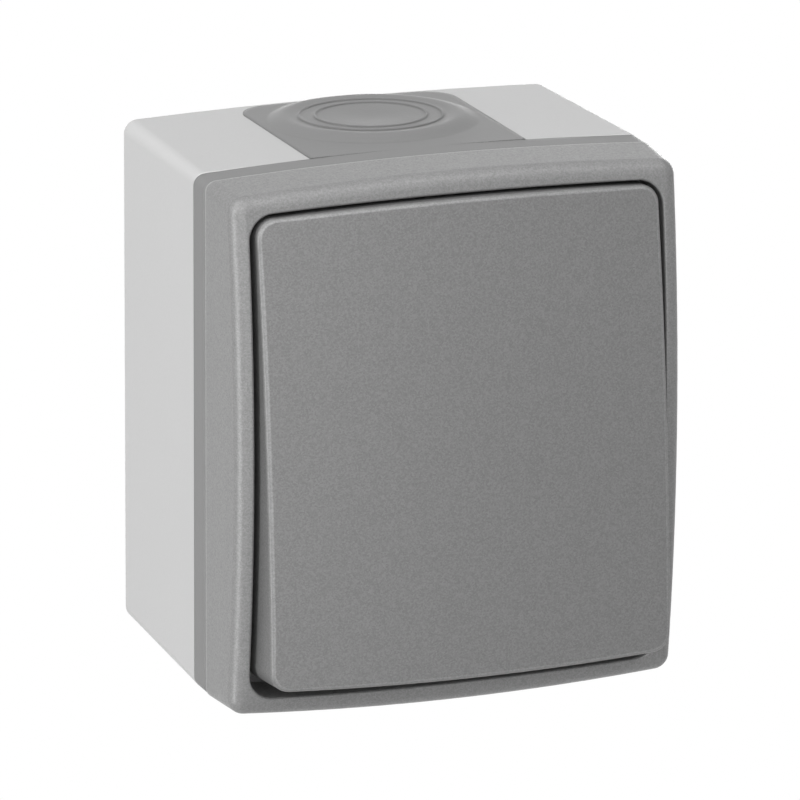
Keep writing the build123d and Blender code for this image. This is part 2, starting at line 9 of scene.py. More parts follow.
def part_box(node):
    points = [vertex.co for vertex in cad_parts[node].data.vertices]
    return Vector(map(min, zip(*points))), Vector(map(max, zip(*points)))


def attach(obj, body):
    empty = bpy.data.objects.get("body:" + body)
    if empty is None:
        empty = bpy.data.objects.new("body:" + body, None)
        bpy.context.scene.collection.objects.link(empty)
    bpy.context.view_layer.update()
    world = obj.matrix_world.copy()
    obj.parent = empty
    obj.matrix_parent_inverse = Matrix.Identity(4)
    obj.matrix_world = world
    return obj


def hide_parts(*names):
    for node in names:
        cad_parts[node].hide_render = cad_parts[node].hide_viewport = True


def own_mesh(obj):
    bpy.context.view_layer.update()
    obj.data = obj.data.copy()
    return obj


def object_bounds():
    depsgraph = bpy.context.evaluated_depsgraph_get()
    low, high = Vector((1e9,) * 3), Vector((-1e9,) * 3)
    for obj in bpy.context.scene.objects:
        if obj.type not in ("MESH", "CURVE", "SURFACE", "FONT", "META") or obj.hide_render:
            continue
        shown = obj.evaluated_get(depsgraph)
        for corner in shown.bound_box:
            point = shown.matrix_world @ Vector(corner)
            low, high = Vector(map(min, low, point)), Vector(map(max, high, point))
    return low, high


bl_info = {
    "name": "Bell push finishes",
    "version": (1, 0, 0),
    "blender": (4, 5, 0),
    "location": "3D View > Sidebar > Bell Push",
    "description": "Finishes, screws, spring and studio for a weatherproof bell push",
    "category": "Object",
}

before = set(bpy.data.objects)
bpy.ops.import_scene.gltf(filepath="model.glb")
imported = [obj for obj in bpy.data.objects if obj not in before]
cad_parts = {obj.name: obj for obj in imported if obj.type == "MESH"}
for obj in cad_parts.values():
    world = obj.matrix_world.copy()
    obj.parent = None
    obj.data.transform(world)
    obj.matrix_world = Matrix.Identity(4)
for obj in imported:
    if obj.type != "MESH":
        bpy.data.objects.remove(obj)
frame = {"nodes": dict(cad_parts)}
CAD_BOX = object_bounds()
MM = 0.001

# Small pieces: merging distance, sharp edge, heads by radius and height, rise of an end turn in wires
WELD = 0.000002
SHARP = math.radians(40)
HEAD_LAP = 0.00005
PAN_HEAD = (0.0028, 0.0019)
TERMINAL_HEAD = (0.0025, 0.0016)
SCREW_RADIUS = 0.0015
CLOSED_TURN = 1.04

# Frame's rear plane, and the push plate's tilt at rest
REAR_Y = -0.0425
PLATE_TILT = math.radians(5.5)

# Painted highlights on edges: width of the strip on the frame's rear edge, and the plate's share and where
# its normal turns to the front
REAR_HIGHLIGHT_WIDTH = 0.0004
PLATE_HIGHLIGHT_SHARE = 0.7
HIGHLIGHT_STARTS = (0.7, 0.92)
HIGHLIGHT_ENDS = (0.95, 0.99)

# Metal in the lacquers, depth of the finest relief, rounding and drift of tone of the seals
FRAME_METAL = 0.16
PLATE_METAL = 0.25
RESIN_IOR = 1.5
PEEL_DEPTH = 0.000012
STREAK_DEPTH = 0.000004
SOFT_EDGE = 0.0012
SEAL_DRIFT = 0.04

# Stage in metres, and the camera's target and sideways and upward shift in millimetres
FLOOR_RADIUS = 6.0
TARGET = (0, -30, 0)
SHIFT = (0.13, 0.25)


# Sizes and colours that a user may change

def colour(label, about, value):
    """Colour property with its default in linear light."""
    return bpy.props.FloatVectorProperty(name=label, description=about, default=value, size=3, min=0.0,
                                         max=1.0, subtype="COLOR")


def length(label, about, value):
    """Length property with its default in metres."""
    return bpy.props.FloatProperty(name=label, description=about, default=value, min=0.0, precision=5,
                                   subtype="DISTANCE", unit="LENGTH")


def share(label, about, value):
    """Share from nought to one."""
    return bpy.props.FloatProperty(name=label, description=about, default=value, min=0.0, max=1.0,
                                   subtype="FACTOR")


class MouldingLook(bpy.types.PropertyGroup):
    """Plain mouldings of the box and the inner block."""
    box: colour("Box", "Light grey of the back box", (0.58, 0.58, 0.58))
    block: colour("Contact block", "Black of the contact block and its cover", (0.022, 0.022, 0.023))
    cradle: colour("Cradle", "Off-white of the cradle and the plunger", (0.62, 0.61, 0.57))
    grain: length("Grain", "Width of one grain of the mould's eroded texture", 0.00045)
    grain_depth: length("Grain depth", "Depth of that texture", 0.00002)
    roughness: share("Roughness", "Roughness of the box", 0.55)


class SealLook(bpy.types.PropertyGroup):
    """Soft seals."""
    rubber: colour("Seal", "Mid grey of the soft seal", (0.205, 0.205, 0.205))
    roughness: share("Roughness", "Roughness of the soft seal", 0.5)


class LacquerLook(bpy.types.PropertyGroup):
    """Metallic lacquer of the frame and the push plate."""
    frame: colour("Frame", "Pearl grey of the frame", (0.238, 0.238, 0.238))
    plate: colour("Push plate", "Darker grey of the push plate", (0.192, 0.192, 0.192))
    flake: length("Flake", "Size of the metal flakes", 0.00022)
    flake_contrast: share("Flake contrast", "How much the flakes differ from each other", 0.28)
    cloud: share("Cloud", "How much the lacquer's tone drifts over a few millimetres", 0.08)
    # Strength of the painted highlight on the frame's rear edge and on the plate's rounded edge
    painted_edge_highlight: share("Painted edge highlight", "How much lighter the edges are painted, to match the photo", 0.5)


class MetalLook(bpy.types.PropertyGroup):
    """Sheet metal, screws, contacts and spring."""
    zinc: colour("Zinc", "Bright zinc plate on steel", (0.56, 0.57, 0.58))
    copper: colour("Copper alloy", "Strip of the contacts", (0.72, 0.42, 0.22))
    silver: colour("Silver", "Contact tips", (0.82, 0.81, 0.78))
    spring: colour("Spring wire", "Drawn wire of the return spring", (0.42, 0.42, 0.42))


class FixingLook(bpy.types.PropertyGroup):
    """Threads of the screws and turns of the return spring."""
    coarse_pitch: length("Coarse pitch", "Thread pitch of the screws driven into plastic", 0.0011)
    coarse_core: length("Coarse core", "Core diameter of those screws", 0.0021)
    fine_pitch: length("Fine pitch", "Thread pitch of the terminal screws", 0.0005)
    fine_core: length("Fine core", "Core diameter of the terminal screws", 0.0024)
    wire: length("Wire", "Wire diameter of the return spring", 0.0006)
    turns: bpy.props.IntProperty(name="Turns", description="Open turns of the return spring", default=4,
                                 min=2)


class StudioLook(bpy.types.PropertyGroup):
    """Camera, lamps and floor."""
    azimuth: bpy.props.FloatProperty(name="Azimuth", default=math.radians(-20.47), subtype="ANGLE",
                                     description="Camera's turn about the object, from the front",
                                     unit="ROTATION")
    elevation: bpy.props.FloatProperty(name="Elevation", description="Camera's height angle",
                                       default=math.radians(16.09), subtype="ANGLE", unit="ROTATION")
    roll: bpy.props.FloatProperty(name="Roll", description="Camera's turn about its own line of sight",
                                  default=math.radians(0.23), subtype="ANGLE", unit="ROTATION")
    distance: length("Distance", "Camera to the middle of the object", 1.6095)
    lens: bpy.props.FloatProperty(name="Lens", description="Focal length on a 36 mm sensor", default=452.7,
                                  min=50.0, unit="CAMERA")
    floor_drop: length("Floor drop", "Floor's depth below the object, which hangs on a wall", 1.1)


# Shader building blocks

def add_node(tree, kind, **values):
    """New node, with its own settings and its inputs set by name."""
    made = tree.nodes.new(kind)
    for name, value in values.items():
        if hasattr(made, name):
            setattr(made, name, value)
        else:
            made.inputs[name.replace("_", " ")].default_value = value
    return made


def new_group(name, inputs, outputs):
    """Empty shader node group with typed, named sockets."""
    tree = bpy.data.node_groups.new(name, "ShaderNodeTree")
    for label, kind, default in inputs:
        socket = tree.interface.new_socket(name=label, in_out="INPUT", socket_type=kind)
        if default is not None:
            socket.default_value = default
    for label, kind in outputs:
        tree.interface.new_socket(name=label, in_out="OUTPUT", socket_type=kind)
    return tree, tree.nodes.new("NodeGroupInput"), tree.nodes.new("NodeGroupOutput")


FLOAT = "NodeSocketFloat"
COLOUR = "NodeSocketColor"
VECTOR = "NodeSocketVector"


def grain_group():
    """Fine eroded texture of a mould: two sizes of grain as a height, and a slow drift of tone."""
    tree, given, result = new_group(
        "Mould grain", [("Place", VECTOR, None), ("Grain", FLOAT, 0.0004), ("Drift", FLOAT, 0.02)],
        [("Height", FLOAT), ("Tone", FLOAT)])
    link = tree.links.new
    scale = add_node(tree, "ShaderNodeMath", operation="DIVIDE")
    scale.inputs[0].default_value = 1.0
    link(given.outputs["Grain"], scale.inputs[1])
    fine = add_node(tree, "ShaderNodeTexNoise", Detail=2.0, Roughness=0.55)
    link(given.outputs["Place"], fine.inputs["Vector"])
    link(scale.outputs[0], fine.inputs["Scale"])
    half = add_node(tree, "ShaderNodeMath", operation="MULTIPLY")
    half.inputs[1].default_value = 0.37
    link(scale.outputs[0], half.inputs[0])
    pits = add_node(tree, "ShaderNodeTexVoronoi", feature="SMOOTH_F1")
    link(given.outputs["Place"], pits.inputs["Vector"])
    link(half.outputs[0], pits.inputs["Scale"])
    height = add_node(tree, "ShaderNodeMath", operation="MULTIPLY_ADD")
    height.inputs[1].default_value = 0.45
    link(pits.outputs["Distance"], height.inputs[0])
    link(fine.outputs["Fac"], height.inputs[2])
    link(height.outputs[0], result.inputs["Height"])
    slow = add_node(tree, "ShaderNodeTexNoise", Scale=28.0, Detail=3.0, Roughness=0.6)
    link(given.outputs["Place"], slow.inputs["Vector"])
    centred = add_node(tree, "ShaderNodeMath", operation="SUBTRACT")
    centred.inputs[1].default_value = 0.5
    link(slow.outputs["Fac"], centred.inputs[0])
    drift = add_node(tree, "ShaderNodeMath", operation="MULTIPLY_ADD")
    drift.inputs[2].default_value = 1.0
    link(centred.outputs[0], drift.inputs[0])
    link(given.outputs["Drift"], drift.inputs[1])
    speck = add_node(tree, "ShaderNodeMath", operation="MULTIPLY_ADD")
    speck.inputs[1].default_value = 0.05
    link(fine.outputs["Fac"], speck.inputs[0])
    link(drift.outputs[0], speck.inputs[2])
    link(speck.outputs[0], result.inputs["Tone"])
    return tree


def flake_group():
    """Metal flakes in lacquer, each with its own lightness, over a slow cloud and an orange peel."""
    tree, given, result = new_group(
        "Lacquer flake",
        [("Place", VECTOR, None), ("Flake", FLOAT, 0.0002), ("Contrast", FLOAT, 0.1), ("Cloud", FLOAT, 0.1)],
        [("Tone", FLOAT), ("Roughness", FLOAT), ("Height", FLOAT)])
    link = tree.links.new
    scale = add_node(tree, "ShaderNodeMath", operation="DIVIDE")
    scale.inputs[0].default_value = 1.0
    link(given.outputs["Flake"], scale.inputs[1])
    cells = add_node(tree, "ShaderNodeTexVoronoi")
    link(given.outputs["Place"], cells.inputs["Vector"])
    link(scale.outputs[0], cells.inputs["Scale"])
    apart = add_node(tree, "ShaderNodeSeparateColor")
    link(cells.outputs["Color"], apart.inputs["Color"])
    centred = add_node(tree, "ShaderNodeMath", operation="SUBTRACT")
    centred.inputs[1].default_value = 0.5
    link(apart.outputs["Red"], centred.inputs[0])
    slow = add_node(tree, "ShaderNodeTexNoise", Scale=420.0, Detail=4.0, Roughness=0.62)
    link(given.outputs["Place"], slow.inputs["Vector"])
    drift = add_node(tree, "ShaderNodeMath", operation="SUBTRACT")
    drift.inputs[1].default_value = 0.5
    link(slow.outputs["Fac"], drift.inputs[0])
    cloud = add_node(tree, "ShaderNodeMath", operation="MULTIPLY_ADD")
    cloud.inputs[2].default_value = 1.0
    link(drift.outputs[0], cloud.inputs[0])
    link(given.outputs["Cloud"], cloud.inputs[1])
    tone = add_node(tree, "ShaderNodeMath", operation="MULTIPLY_ADD")
    link(centred.outputs[0], tone.inputs[0])
    link(given.outputs["Contrast"], tone.inputs[1])
    link(cloud.outputs[0], tone.inputs[2])
    link(tone.outputs[0], result.inputs["Tone"])
    rough = add_node(tree, "ShaderNodeMapRange")
    rough.inputs["To Min"].default_value = 0.3
    rough.inputs["To Max"].default_value = 0.46
    link(apart.outputs["Green"], rough.inputs["Value"])
    link(rough.outputs["Result"], result.inputs["Roughness"])
    peel = add_node(tree, "ShaderNodeTexNoise", Scale=900.0, Detail=2.0)
    link(given.outputs["Place"], peel.inputs["Vector"])
    link(peel.outputs["Fac"], result.inputs["Height"])
    return tree


def brushed_group():
    """Rolled or drawn metal: long fine streaks that change the tone and the roughness."""
    tree, given, result = new_group(
        "Rolled metal", [("Place", VECTOR, None), ("Contrast", FLOAT, 0.12)],
        [("Tone", FLOAT), ("Roughness", FLOAT), ("Height", FLOAT)])
    link = tree.links.new
    stretch = add_node(tree, "ShaderNodeMapping")
    stretch.inputs["Scale"].default_value = (2600.0, 2600.0, 160.0)
    link(given.outputs["Place"], stretch.inputs["Vector"])
    streak = add_node(tree, "ShaderNodeTexNoise", Scale=1.0, Detail=3.0, Roughness=0.6)
    link(stretch.outputs["Vector"], streak.inputs["Vector"])
    centred = add_node(tree, "ShaderNodeMath", operation="SUBTRACT")
    centred.inputs[1].default_value = 0.5
    link(streak.outputs["Fac"], centred.inputs[0])
    tone = add_node(tree, "ShaderNodeMath", operation="MULTIPLY_ADD")
    tone.inputs[2].default_value = 1.0
    link(centred.outputs[0], tone.inputs[0])
    link(given.outputs["Contrast"], tone.inputs[1])
    link(tone.outputs[0], result.inputs["Tone"])
    rough = add_node(tree, "ShaderNodeMapRange")
    rough.inputs["To Min"].default_value = 0.24
    rough.inputs["To Max"].default_value = 0.46
    link(streak.outputs["Fac"], rough.inputs["Value"])
    link(rough.outputs["Result"], result.inputs["Roughness"])
    link(streak.outputs["Fac"], result.inputs["Height"])
    return tree


def shared_group(name, build):
    """The named node group, built the first time it is asked for."""
    return bpy.data.node_groups.get(name) or build()


class Finish:
    """A material with one shader, which reads its place from Object coordinates."""

    def __init__(self, name):
        self.material = bpy.data.materials.new(name)
        self.material.use_nodes = True
        self.tree = self.material.node_tree
        self.shader = self.tree.nodes["Principled BSDF"]
        self.place = self.tree.nodes.new("ShaderNodeTexCoord").outputs["Object"]

    def set(self, **values):
        for name, value in values.items():
            self.shader.inputs[name.replace("_", " ")].default_value = value

    def group(self, tree, **values):
        made = self.tree.nodes.new("ShaderNodeGroup")
        made.node_tree = tree
        self.tree.links.new(self.place, made.inputs["Place"])
        for name, value in values.items():
            made.inputs[name].default_value = value
        return made

    def tint(self, base, tone):
        """Base colour times a tone that changes over the surface."""
        mix = self.tree.nodes.new("ShaderNodeMix")
        mix.data_type = "RGBA"
        mix.blend_type = "MULTIPLY"
        mix.inputs["Factor"].default_value = 1.0
        mix.inputs["A"].default_value = (*base, 1.0)
        self.tree.links.new(tone, mix.inputs["B"])
        self.tree.links.new(mix.outputs["Result"], self.shader.inputs["Base Color"])

    def axis(self, letter):
        """Place along x, y or z."""
        apart = self.tree.nodes.new("ShaderNodeSeparateXYZ")
        self.tree.links.new(self.place, apart.inputs["Vector"])
        return apart.outputs[letter]

    def math(self, operation, one, two):
        """One sum on two sockets, or on a socket and a number."""
        made = self.tree.nodes.new("ShaderNodeMath")
        made.operation = operation
        for socket, value in zip(made.inputs, (one, two)):
            if isinstance(value, bpy.types.NodeSocket):
                self.tree.links.new(value, socket)
            else:
                socket.default_value = value
        return made.outputs[0]

    def ramp(self, value, start, end, low, high):
        """Smooth step of a value between two ends."""
        made = self.tree.nodes.new("ShaderNodeMapRange")
        made.interpolation_type = "SMOOTHSTEP"
        for name, number in (("From Min", start), ("From Max", end), ("To Min", low), ("To Max", high)):
            made.inputs[name].default_value = number
        self.tree.links.new(value, made.inputs["Value"])
        return made.outputs["Result"]

    def relief(self, height, depth, round_edges=0.0):
        """Bump with its depth in metres, on edges whose shading, not shape, is rounded by a radius."""
        bump = self.tree.nodes.new("ShaderNodeBump")
        if round_edges:
            soft = self.tree.nodes.new("ShaderNodeBevel")
            soft.samples = 8
            soft.inputs["Radius"].default_value = round_edges
            self.tree.links.new(soft.outputs["Normal"], bump.inputs["Normal"])
        bump.inputs["Distance"].default_value = depth
        self.tree.links.new(height, bump.inputs["Height"])
        self.tree.links.new(bump.outputs["Normal"], self.shader.inputs["Normal"])

    def rough(self, socket):
        self.tree.links.new(socket, self.shader.inputs["Roughness"])


def moulded(name, base, look, roughness, drift=0.03, round_edges=0.0):
    """Plain moulded plastic with the mould's grain."""
    made = Finish(name)
    grain = made.group(shared_group("Mould grain", grain_group), Grain=look.grain, Drift=drift)
    made.tint(base, grain.outputs["Tone"])
    made.relief(grain.outputs["Height"], look.grain_depth, round_edges)
    made.set(Roughness=roughness, IOR=RESIN_IOR)
    return made.material


def lacquered(name, look, metallic):
    """Lacquer with metal flakes over plastic, still without its colour, and the tone of its flakes."""
    made = Finish(name)
    flake = made.group(shared_group("Lacquer flake", flake_group), Flake=look.flake,
                       Contrast=look.flake_contrast, Cloud=look.cloud)
    made.rough(flake.outputs["Roughness"])
    made.relief(flake.outputs["Height"], PEEL_DEPTH)
    made.set(Metallic=metallic, IOR=RESIN_IOR)
    return made, flake.outputs["Tone"]


def frame_lacquer(look):
    """Lacquer of the frame, with a painted highlight in a thin strip along its rear edge."""
    made, tone = lacquered("Frame lacquer", look, FRAME_METAL)
    # Painted highlight: the lacquer is lighter in a thin strip at the frame's rear edge
    edge = made.ramp(made.axis("Y"), REAR_Y - 2 * REAR_HIGHLIGHT_WIDTH, REAR_Y - REAR_HIGHLIGHT_WIDTH, 1.0, 1.0 + look.painted_edge_highlight)
    made.tint(look.frame, made.math("MULTIPLY", tone, edge))
    return made.material


def plate_lacquer(look):
    """Lacquer of the push plate, with a painted highlight along the rounded edge of its face."""
    made, tone = lacquered("Plate lacquer", look, PLATE_METAL)
    normal = made.tree.nodes["Texture Coordinate"].outputs["Normal"]
    facing = made.tree.nodes.new("ShaderNodeVectorMath")
    facing.operation = "DOT_PRODUCT"
    facing.inputs[1].default_value = (0.0, -math.cos(PLATE_TILT), math.sin(PLATE_TILT))
    made.tree.links.new(normal, facing.inputs[0])
    # Painted highlight: lighter where the normal turns away from the plate's face, on its rounded edge
    outer = made.ramp(facing.outputs["Value"], *HIGHLIGHT_STARTS, 0.0, PLATE_HIGHLIGHT_SHARE * look.painted_edge_highlight)
    inner = made.ramp(facing.outputs["Value"], *HIGHLIGHT_ENDS, 1.0, 0.0)
    edge = made.math("ADD", made.math("MULTIPLY", outer, inner), 1.0)
    made.tint(look.plate, made.math("MULTIPLY", tone, edge))
    return made.material


def metal(name, base, contrast):
    """Bare or plated metal."""
    made = Finish(name)
    rolled = made.group(shared_group("Rolled metal", brushed_group), Contrast=contrast)
    made.tint(base, rolled.outputs["Tone"])
    made.rough(rolled.outputs["Roughness"])
    made.relief(rolled.outputs["Height"], STREAK_DEPTH)
    made.set(Metallic=1.0)
    return made.material


def dress(material, *names):
    """Puts a material on CAD nodes."""
    for name in names:
        node = frame["nodes"][name]
        if not node.material_slots:
            raise RuntimeError(f"{name} has no material slot")
        for slot in node.material_slots:
            slot.material = material


# Small turned pieces

def spin_turn(shape, geom, rise, steps):
    """One turn about z that climbs by its rise, and the geometry at its end."""
    made = bmesh.ops.spin(shape, geom=geom, cent=(0, 0, 0), axis=(0, 0, 1), dvec=(0, 0, rise / steps),
                          angle=math.tau, steps=steps, use_merge=False, use_normal_flip=False,
                          use_duplicate=False)
    return made["geom_last"]


def close_thread(shape, edges, z, radius):
    """Runs an open end of a thread to a flat end with its own radius and closes it."""
    made = bmesh.ops.extrude_edge_only(shape, edges=edges)["geom"]
    verts = [item for item in made if isinstance(item, bmesh.types.BMVert)]
    for vert in verts:
        flat = Vector((vert.co.x, vert.co.y, 0.0)).normalized() * radius
        vert.co = (flat.x, flat.y, z)
    bmesh.ops.remove_doubles(shape, verts=verts, dist=WELD)
    bmesh.ops.holes_fill(shape, edges=[edge for edge in shape.edges if edge.is_boundary and
                                       all(abs(vert.co.z - z) < WELD for vert in edge.verts)], sides=0)


def threaded_shank(shape, length, crest, core, pitch, steps=24):
    """Threaded bar along z from its tip, at minus its length, up to just inside the head."""
    tip = 0.6 * pitch
    foot = tip - length
    teeth = int((length - tip) / pitch) - 1
    points = []
    for tooth in range(teeth):
        z = foot + tooth * pitch
        points += [(core, z), (crest, z + 0.4 * pitch), (crest, z + 0.5 * pitch), (core, z + 0.9 * pitch)]
    points.append((core, foot + teeth * pitch))
    verts = [shape.verts.new((radius, 0.0, z)) for radius, z in points]
    edges = [shape.edges.new(pair) for pair in zip(verts, verts[1:])]
    spin_turn(shape, verts + edges, pitch, steps)
    bmesh.ops.remove_doubles(shape, verts=shape.verts, dist=WELD)
    middle = foot + teeth * pitch / 2
    ends = [edge for edge in shape.edges if edge.is_boundary]
    close_thread(shape, [edge for edge in ends if edge.verts[0].co.z < middle], -length, 0.6 * core)
    close_thread(shape, [edge for edge in ends if edge.verts[0].co.z > middle], HEAD_LAP, core)
    bmesh.ops.dissolve_degenerate(shape, edges=shape.edges, dist=WELD)


def turn_outwards(shape):
    """Makes every face of a closed shape look outwards."""
    bmesh.ops.recalc_face_normals(shape, faces=shape.faces)
    if shape.calc_volume(signed=True) < 0:
        bmesh.ops.reverse_faces(shape, faces=shape.faces)


def finished_piece(name, shape, material, body, slot, *nodes):
    """Makes a bmesh a piece at the origin that rides on a body and stands for CAD nodes."""
    turn_outwards(shape)
    mesh = bpy.data.meshes.new(name)
    shape.to_mesh(mesh)
    shape.free()
    mesh.materials.append(material)
    for face in mesh.polygons:
        face.use_smooth = True
    mesh.set_sharp_from_angle(angle=SHARP)
    piece = bpy.data.objects.new(name, mesh)
    bpy.context.collection.objects.link(piece)
    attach(piece, body)
    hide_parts(*nodes)
    return piece


def closed_coil(shape, wire, radius, height, turns, steps=32):
    """Round wire wound about z up to a height, with a closed turn at each end."""
    ring = bmesh.ops.create_circle(shape, cap_ends=False, radius=wire / 2, segments=12)["verts"]
    upright = Matrix.Translation((radius, 0, 0)) @ Matrix.Rotation(math.radians(90), 4, "X")
    bmesh.ops.transform(shape, matrix=upright, verts=ring)
    geom = shape.verts[:] + shape.edges[:]
    closed = CLOSED_TURN * wire
    for rise in (closed, *[(height - 2 * closed) / turns] * turns, closed):
        geom = spin_turn(shape, geom, rise, steps)
    bmesh.ops.holes_fill(shape, edges=[edge for edge in shape.edges if edge.is_boundary], sides=0)


def screws(name, node, head_radius, head_height, crest, core, pitch, material):
    """Threaded screws with the CAD's own heads, in place of a node of plain ones."""
    low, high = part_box(node)
    seat = low.y + head_height
    shape = bmesh.new()
    shape.from_mesh(frame["nodes"][node].data)
    bmesh.ops.remove_doubles(shape, verts=shape.verts, dist=WELD)
    everything = shape.verts[:] + shape.edges[:] + shape.faces[:]
    bmesh.ops.bisect_plane(shape, geom=everything, plane_co=(0, seat - HEAD_LAP / 2, 0), plane_no=(0, 1, 0),
                           clear_outer=True)
    bmesh.ops.holes_fill(shape, edges=[edge for edge in shape.edges if edge.is_boundary], sides=0)
    rows = [low.z + head_radius]
    if high.z - low.z > 3 * head_radius:
        rows.append(high.z - head_radius)
    for x in (low.x + head_radius, high.x - head_radius):
        for z in rows:
            shank = bmesh.new()
            threaded_shank(shank, high.y - seat, crest, core, pitch)
            shank.transform(Matrix.Translation((x, seat, z)) @ Matrix.Rotation(math.radians(90), 4, "X"))
            turn_outwards(shank)
            mesh = bpy.data.meshes.new("shank")
            shank.to_mesh(mesh)
            shank.free()
            shape.from_mesh(mesh)
            bpy.data.meshes.remove(mesh)
    return finished_piece(name, shape, material, "housing", "zinc_steel", node)


# Operators, one for each piece or group of like pieces

class BELLPUSH_OT_box(bpy.types.Operator):
    """Finish the light grey back box"""
    bl_idname = "bellpush.box"
    bl_label = "Back box"

    def execute(self, context):
        look = context.scene.bell_mouldings
        dress(moulded("Box moulding", look.box, look, look.roughness), "back_box")
        return {"FINISHED"}


class BELLPUSH_OT_seals(bpy.types.Operator):
    """Finish the soft entry seal, the washers and the inner gasket"""
    bl_idname = "bellpush.seals"
    bl_label = "Soft seals"

    def execute(self, context):
        look = context.scene.bell_seals
        grain = context.scene.bell_mouldings
        made = moulded("Soft seal", look.rubber, grain, look.roughness, SEAL_DRIFT, SOFT_EDGE)
        dress(made, "entry_seal", "wall_screw_seals", "frame_gasket")
        return {"FINISHED"}


class BELLPUSH_OT_frame(bpy.types.Operator):
    """Finish the pearl grey frame"""
    bl_idname = "bellpush.frame"
    bl_label = "Frame"

    def execute(self, context):
        dress(frame_lacquer(context.scene.bell_lacquer), "front_frame")
        return {"FINISHED"}


class BELLPUSH_OT_push_plate(bpy.types.Operator):
    """Finish the darker push plate"""
    bl_idname = "bellpush.push_plate"
    bl_label = "Push plate"

    def execute(self, context):
        dress(plate_lacquer(context.scene.bell_lacquer), "push_plate")
        return {"FINISHED"}


class BELLPUSH_OT_block(bpy.types.Operator):
    """Finish the contact block, its cover, the cradle and the plunger"""
    bl_idname = "bellpush.block"
    bl_label = "Contact block"

    def execute(self, context):
        look = context.scene.bell_mouldings
        dress(moulded("Block moulding", look.block, look, 0.45), "contact_base", "contact_cover")
        dress(moulded("Cradle moulding", look.cradle, look, 0.4), "rocker_cradle", "plunger")
        return {"FINISHED"}


class BELLPUSH_OT_metalwork(bpy.types.Operator):
    """Finish the support plate, its rivets and the terminal clamps"""
    bl_idname = "bellpush.metalwork"
    bl_label = "Metalwork"

    def execute(self, context):
        zinc = metal("Zinc plate", context.scene.bell_metals.zinc, 0.2)
        dress(zinc, "support_plate", "block_rivets", "terminal_clamp_left", "terminal_clamp_right")
        return {"FINISHED"}


class BELLPUSH_OT_screws(bpy.types.Operator):
    """Cut the threads of the frame's, the support plate's and the terminals' screws"""
    bl_idname = "bellpush.screws"
    bl_label = "Screws"

    def execute(self, context):
        look = context.scene.bell_fixings
        zinc = metal("Zinc screw", context.scene.bell_metals.zinc, 0.1)
        coarse = (SCREW_RADIUS, look.coarse_core / 2, look.coarse_pitch)
        fine = (SCREW_RADIUS, look.fine_core / 2, look.fine_pitch)
        screws("frame_screws_threaded", "frame_screws", *PAN_HEAD, *coarse, zinc)
        screws("support_screws_threaded", "support_screws", *PAN_HEAD, *coarse, zinc)
        screws("terminal_screws_threaded", "terminal_screws", *TERMINAL_HEAD, *fine, zinc)
        return {"FINISHED"}


class BELLPUSH_OT_contacts(bpy.types.Operator):
    """Finish the contact strips, the bridge and their tips"""
    bl_idname = "bellpush.contacts"
    bl_label = "Contacts"

    def execute(self, context):
        look = context.scene.bell_metals
        dress(metal("Copper strip", look.copper, 0.15), "contact_strip_left", "contact_strip_right",
              "contact_bridge")
        dress(metal("Silver tip", look.silver, 0.08), "fixed_contact_tips", "bridge_tips")
        return {"FINISHED"}


class BELLPUSH_OT_spring(bpy.types.Operator):
    """Wind the return spring with closed ends"""
    bl_idname = "bellpush.spring"
    bl_label = "Return spring"

    def execute(self, context):
        look = context.scene.bell_fixings
        low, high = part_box("return_spring")
        length = high.y - low.y
        middle = (low + high) / 2
        shape = bmesh.new()
        closed_coil(shape, look.wire, (high.x - low.x - look.wire) / 2, length - look.wire, look.turns)
        shape.transform(Matrix.Translation((middle.x, high.y - look.wire / 2, middle.z)) @
                        Matrix.Rotation(math.radians(90), 4, "X"))
        spring = finished_piece("return_spring_wound", shape,
                                metal("Spring wire", context.scene.bell_metals.spring, 0.1), "housing",
                                "spring_steel", "return_spring")
        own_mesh(spring)
        return {"FINISHED"}


# Soft lamps of the studio: place, size and power, fitted to the tones of the photo
LIT_POINT = (0, -0.03, 0)
LAMPS = {
    "Left": ((-1.3, -0.25, 0.0), (0.6, 1.6), 10.6),
    "Fill": ((-0.4, -1.6, 0.3), (1.6, 1.6), 8.9),
    "Above": ((-0.5, -0.8, 1.2), (2.8, 2.4), 29.5),
    "Top": ((0.0, -0.05, 1.4), (2.2, 1.8), 5.9),
    "Low": ((0.1, -1.5, -0.4), (0.6, 0.6), 0.6),
    "Behind": ((0.6, 1.4, -0.1), (1.4, 0.4), 8.0),
}
WORLD_LIGHT = 0.02


def aim(obj, place, target):
    """Puts a lamp at a place, facing a target."""
    place, target = Vector(place), Vector(target)
    turn = (place - target).to_track_quat("Z", "Y").to_matrix().to_4x4()
    obj.matrix_world = Matrix.Translation(place) @ turn


def soft_lamp(name, place, target, size, watts):
    """Square soft lamp."""
    data = bpy.data.lights.new(name, "AREA")
    data.shape = "RECTANGLE"
    data.size, data.size_y = size
    data.energy = watts
    lamp = bpy.data.objects.new(name, data)
    bpy.context.collection.objects.link(lamp)
    aim(lamp, place, target)
    return lamp


def seen_ray(tree):
    """One on rays from the camera, in reflections and through clear parts, and nought on the rest."""
    path = tree.nodes.new("ShaderNodeLightPath")
    seen = path.outputs["Is Camera Ray"]
    for name in ("Is Glossy Ray", "Is Transmission Ray"):
        either = add_node(tree, "ShaderNodeMath", operation="MAXIMUM")
        tree.links.new(seen, either.inputs[0])
        tree.links.new(path.outputs[name], either.inputs[1])
        seen = either.outputs[0]
    return seen


def backdrop_white(tree, light):
    """Level that is white to the camera and to reflections, and lights the object at its own strength."""
    level = add_node(tree, "ShaderNodeMapRange")
    level.inputs["To Min"].default_value = light
    level.inputs["To Max"].default_value = 1.0
    tree.links.new(seen_ray(tree), level.inputs["Value"])
    return level.outputs["Result"]


